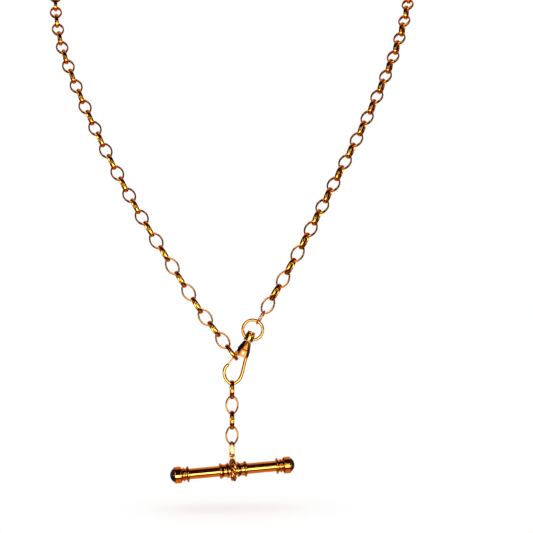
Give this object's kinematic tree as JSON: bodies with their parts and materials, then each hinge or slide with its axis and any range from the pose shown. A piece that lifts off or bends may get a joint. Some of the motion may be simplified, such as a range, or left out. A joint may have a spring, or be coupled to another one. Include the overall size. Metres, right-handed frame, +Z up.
{
  "type": "pocket watch chain",
  "caption": "Rose-gold belcher chain with a swivel dog clip and a T-bar with black stone ends, fastened as a necklace.",
  "frame": {"origin": "the middle of the chain behind the neck, where it hangs", "axes": "+X to the right as seen from the front, +Y backwards, +Z up"},
  "size_m": [0.1037, 0.1274, 0.1608],
  "materials": {
    "rose_gold": "polished",
    "black_stone": "polished"
  },
  "bodies": {
    "neck_chain": {"neck_left": "rose_gold", "neck_right": "rose_gold", "left_pair_01": "rose_gold", "left_pair_02": "rose_gold", "left_pair_03": "rose_gold", "left_pair_04": "rose_gold", "left_pair_05": "rose_gold", "left_pair_06": "rose_gold", "left_pair_07": "rose_gold", "left_pair_08": "rose_gold", "left_pair_09": "rose_gold", "left_pair_10": "rose_gold", "left_pair_11": "rose_gold", "right_pair_01": "rose_gold", "right_pair_02": "rose_gold", "right_pair_03": "rose_gold", "right_pair_04": "rose_gold", "right_pair_05": "rose_gold", "right_pair_06": "rose_gold", "right_pair_07": "rose_gold", "right_pair_08": "rose_gold", "right_pair_09": "rose_gold", "right_pair_10": "rose_gold", "right_pair_11": "rose_gold"},
    "jump_ring": {"jump_ring": "rose_gold"},
    "swivel_ring": {"swivel_ring": "rose_gold"},
    "swivel_head": {"swivel_head": "rose_gold", "swivel_rivet": "rose_gold"},
    "clasp": {"clasp_body": "rose_gold", "clasp_hook": "rose_gold", "gate_pin": "rose_gold", "gate_spring": "rose_gold"},
    "gate": {"gate": "rose_gold"},
    "drop_link_1": {"drop_link_1": "rose_gold"},
    "drop_link_2": {"drop_link_2": "rose_gold"},
    "drop_link_3": {"drop_link_3": "rose_gold"},
    "drop_link_4": {"drop_link_4": "rose_gold"},
    "drop_jump_link": {"drop_jump_link": "rose_gold"},
    "bail": {"bail_rope": "rose_gold", "bail_eye": "rose_gold"},
    "bar": {"bar_tube": "rose_gold", "left_collar": "rose_gold", "left_flange": "rose_gold", "left_cup": "rose_gold", "left_stone": "black_stone", "right_collar": "rose_gold", "right_flange": "rose_gold", "right_cup": "rose_gold", "right_stone": "black_stone"},
    "left_tail": {"left_pair_14": "rose_gold", "left_last_link": "rose_gold"},
    "left_end_link": {"left_end_link": "rose_gold"},
    "right_pair_12": {"right_pair_12": "rose_gold"},
    "right_pair_13": {"right_pair_13": "rose_gold"},
    "left_pair_12": {"left_pair_12": "rose_gold"},
    "left_pair_13": {"left_pair_13": "rose_gold"}
  },
  "joints": [
    {"name": "gate_open", "type": "hinge", "parent": "clasp", "child": "gate", "pos_m": [0.00156, -0.12161, -0.12726], "axis": [0, -0.9998, 0.0175], "range_deg": [0, 28], "stiffness_Nm_per_rad": 0.0002, "deforming": ["gate_spring"]},
    {"name": "swivel_turn", "type": "hinge", "parent": "swivel_head", "child": "clasp", "pos_m": [0.00478, -0.12155, -0.1237], "axis": [-0.4051, -0.016, -0.9141], "range_deg": [-8, 8]},
    {"name": "ring_turn", "type": "hinge", "parent": "jump_ring", "child": "swivel_ring", "pos_m": [0.00605, -0.1215, -0.12083], "axis": [0, -0.9998, 0.0175], "continuous": true},
    {"name": "clasp_swing", "type": "hinge", "parent": "jump_ring", "child": "swivel_head", "pos_m": [0.00605, -0.1215, -0.12083], "axis": [0, -0.9998, 0.0175], "range_deg": [-1.2, 1.2]},
    {"name": "drop_swing_1", "type": "hinge", "parent": "clasp", "child": "drop_link_1", "pos_m": [0.00087, -0.12174, -0.1343], "axis": [1, 0, 0], "range_deg": [-30, 30]},
    {"name": "drop_swing_2", "type": "hinge", "parent": "drop_link_1", "child": "drop_link_2", "pos_m": [0.00087, -0.12174, -0.1384], "axis": [0.1219, -0.9925, 0], "range_deg": [-30, 30]},
    {"name": "drop_swing_3", "type": "hinge", "parent": "drop_link_2", "child": "drop_link_3", "pos_m": [0.00087, -0.12174, -0.1422], "axis": [0.9925, 0.1219, 0], "range_deg": [-30, 30]},
    {"name": "drop_swing_4", "type": "hinge", "parent": "drop_link_3", "child": "drop_link_4", "pos_m": [0.00087, -0.12174, -0.146], "axis": [-0.1219, 0.9925, 0], "range_deg": [-30, 30]},
    {"name": "jump_link_swing", "type": "hinge", "parent": "drop_link_4", "child": "drop_jump_link", "pos_m": [0.00087, -0.12174, -0.14992], "axis": [0.891, 0.454, 0], "range_deg": [-25, 25]},
    {"name": "bail_swing", "type": "hinge", "parent": "drop_jump_link", "child": "bail", "pos_m": [0.00087, -0.12174, -0.15259], "axis": [-0.1392, 0.9903, 0], "range_deg": [-20, 20]},
    {"name": "bar_spin", "type": "hinge", "parent": "bail", "child": "bar", "pos_m": [0.00112, -0.1217, -0.15586], "axis": [0.9873, 0.1388, 0.0767], "continuous": true},
    {"name": "left_end_rock", "type": "hinge", "parent": "left_tail", "child": "left_end_link", "pos_m": [0.0001, -0.12162, -0.12556], "axis": [0.7978, -0.0111, 0.6029], "range_deg": [-2, 2]},
    {"name": "right_fold_1", "type": "hinge", "parent": "neck_chain", "child": "right_pair_12", "pos_m": [0.0164, -0.12107, -0.10331], "axis": [-1, 0, 0], "range_deg": [0, 8]},
    {"name": "right_fold_2", "type": "hinge", "parent": "right_pair_12", "child": "right_pair_13", "pos_m": [0.0127, -0.1214, -0.10982], "axis": [-1, 0, 0], "range_deg": [0, 8]},
    {"name": "right_fold_3", "type": "hinge", "parent": "right_pair_13", "child": "jump_ring", "pos_m": [0.0089, -0.1216, -0.1163], "axis": [-1, 0, 0], "range_deg": [0, 8]},
    {"name": "left_fold_1", "type": "hinge", "parent": "neck_chain", "child": "left_pair_12", "pos_m": [-0.01512, -0.12107, -0.10331], "axis": [-1, 0, 0], "range_deg": [0, 8]},
    {"name": "left_fold_2", "type": "hinge", "parent": "left_pair_12", "child": "left_pair_13", "pos_m": [-0.01101, -0.1214, -0.10982], "axis": [-1, 0, 0], "range_deg": [0, 8]},
    {"name": "left_fold_3", "type": "hinge", "parent": "left_pair_13", "child": "left_tail", "pos_m": [-0.0069, -0.1216, -0.1163], "axis": [-1, 0, 0], "range_deg": [0, 8]}
  ],
  "couplings": [
    {"joint": "left_fold_1", "follows": "right_fold_1", "ratio": 1},
    {"joint": "left_fold_2", "follows": "right_fold_2", "ratio": 1},
    {"joint": "left_fold_3", "follows": "right_fold_3", "ratio": 1}
  ]
}
